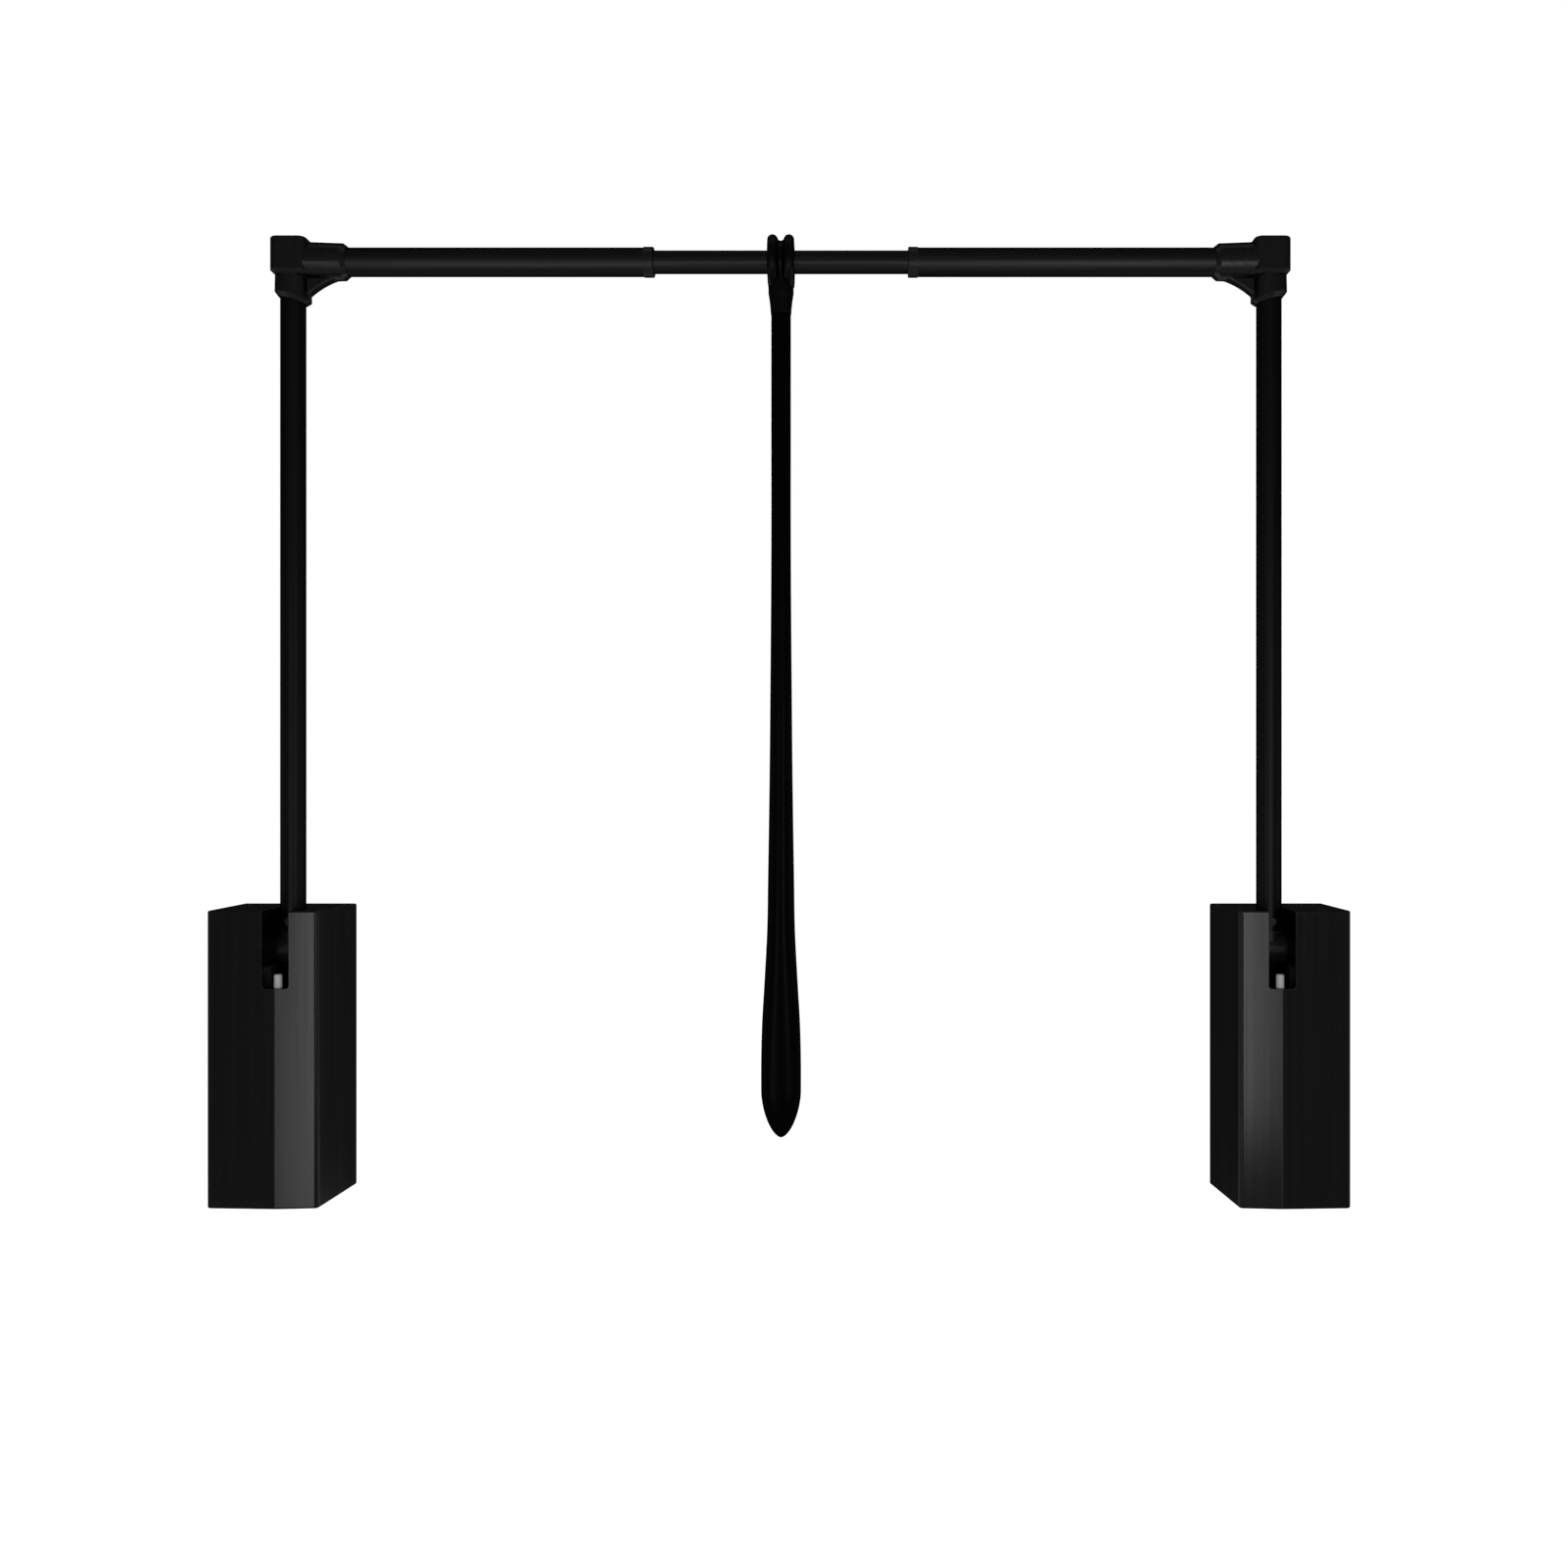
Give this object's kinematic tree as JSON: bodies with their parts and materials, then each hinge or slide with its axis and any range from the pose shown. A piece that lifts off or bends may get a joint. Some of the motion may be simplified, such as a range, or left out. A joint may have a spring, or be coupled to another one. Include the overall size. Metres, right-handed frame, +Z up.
{
  "type": "pull-down closet rod",
  "caption": "Pull-down closet rod: a telescopic hanging rod on swinging tube arms that fold down out of wall boxes with sprung lift, drawn by a long paddle handle.",
  "frame": {"origin": "centre of the left box's wall screw pattern, on the wall plane", "axes": "+X along the rod from the left wall to the right wall, -Y to the front where the user stands, +Z up"},
  "size_m": [0.984, 0.088, 0.8505],
  "materials": {
    "housing": "fine-textured black moulding",
    "tube_coat": "satin black powder coat",
    "elbow_moulding": "satin black moulding",
    "handle_moulding": "matt black moulding",
    "guide_moulding": "black guide moulding",
    "stop_peg": "grey buffer moulding",
    "zinc_steel": "dull zinc plated",
    "casting": "black coated die casting",
    "gas_tube": "black painted pressure tube",
    "piston_rod": "ground and plated",
    "nylon": "dark nylon",
    "screw": "black plated screw"
  },
  "bodies": {
    "left_box": {"left_base_shell": "housing", "left_cover_shell": "housing", "left_cover_screws": "screw", "left_backing_plate": "zinc_steel", "left_axle": "zinc_steel", "left_axle_clip": "zinc_steel", "left_gas_spring_body": "gas_tube", "left_spring_bracket": "zinc_steel", "left_spring_nut": "zinc_steel", "left_spring_saddle": "zinc_steel", "left_stop_peg": "stop_peg"},
    "left_arm": {"left_axle_bushes": "nylon", "left_arm_knuckle": "casting", "left_arm_tube": "tube_coat", "left_arm_rivet": "screw", "left_corner_elbow": "elbow_moulding", "left_elbow_cap": "elbow_moulding", "left_elbow_screws": "screw", "left_rail_sleeve": "tube_coat", "left_sleeve_plug": "guide_moulding", "left_sleeve_end_ring": "guide_moulding"},
    "left_follower": {"left_cam_follower": "nylon", "left_gas_spring_rod": "piston_rod"},
    "right_box": {"right_base_shell": "housing", "right_cover_shell": "housing", "right_cover_screws": "screw", "right_backing_plate": "zinc_steel", "right_axle": "zinc_steel", "right_axle_clip": "zinc_steel", "right_gas_spring_body": "gas_tube", "right_spring_bracket": "zinc_steel", "right_spring_nut": "zinc_steel", "right_spring_saddle": "zinc_steel", "right_stop_peg": "stop_peg"},
    "right_arm": {"right_axle_bushes": "nylon", "right_arm_knuckle": "casting", "right_arm_tube": "tube_coat", "right_arm_rivet": "screw", "right_corner_elbow": "elbow_moulding", "right_elbow_cap": "elbow_moulding", "right_elbow_screws": "screw", "right_rail_sleeve": "tube_coat", "right_sleeve_plug": "guide_moulding", "right_sleeve_end_ring": "guide_moulding"},
    "right_follower": {"right_cam_follower": "nylon", "right_gas_spring_rod": "piston_rod"},
    "middle_tube": {"inner_tube": "tube_coat", "inner_tube_guides": "guide_moulding"},
    "handle": {"collar_front": "handle_moulding", "collar_rear": "handle_moulding", "collar_screws": "screw", "handle_rod": "handle_moulding", "handle_grip": "handle_moulding", "grip_pin": "screw"}
  },
  "joints": [
    {"name": "width_adjust", "type": "slide", "parent": "left_box", "child": "right_box", "axis": [1, 0, 0], "range_m": [-0.154, 0.166]},
    {"name": "left_arm_swing", "type": "hinge", "parent": "left_box", "child": "left_arm", "pos_m": [0.06, 0, 0.092], "axis": [1, 0, 0], "range_deg": [0, 100], "stiffness_Nm_per_rad": 8, "springref_deg": -20.05},
    {"name": "right_arm_swing", "type": "hinge", "parent": "right_box", "child": "right_arm", "pos_m": [0.924, 0, 0.092], "axis": [1, 0, 0], "range_deg": [0, 100]},
    {"name": "left_follower_slide", "type": "slide", "parent": "left_box", "child": "left_follower", "axis": [0, 0, -1], "range_m": [0, 0.0161]},
    {"name": "right_follower_slide", "type": "slide", "parent": "right_box", "child": "right_follower", "axis": [0, 0, -1], "range_m": [0, 0.0161]},
    {"name": "inner_tube_slide", "type": "slide", "parent": "left_arm", "child": "middle_tube", "axis": [1, 0, 0], "range_m": [-0.078, 0.084]},
    {"name": "handle_swing", "type": "hinge", "parent": "middle_tube", "child": "handle", "pos_m": [0.492, 0, 0.699], "axis": [1, 0, 0], "continuous": true}
  ],
  "couplings": [
    {"joint": "right_arm_swing", "follows": "left_arm_swing", "ratio": 1},
    {"joint": "left_follower_slide", "follows": "left_arm_swing", "m_per_rad": 0.009167},
    {"joint": "right_follower_slide", "follows": "left_arm_swing", "m_per_rad": 0.009167},
    {"joint": "inner_tube_slide", "follows": "width_adjust", "ratio": 0.5}
  ]
}
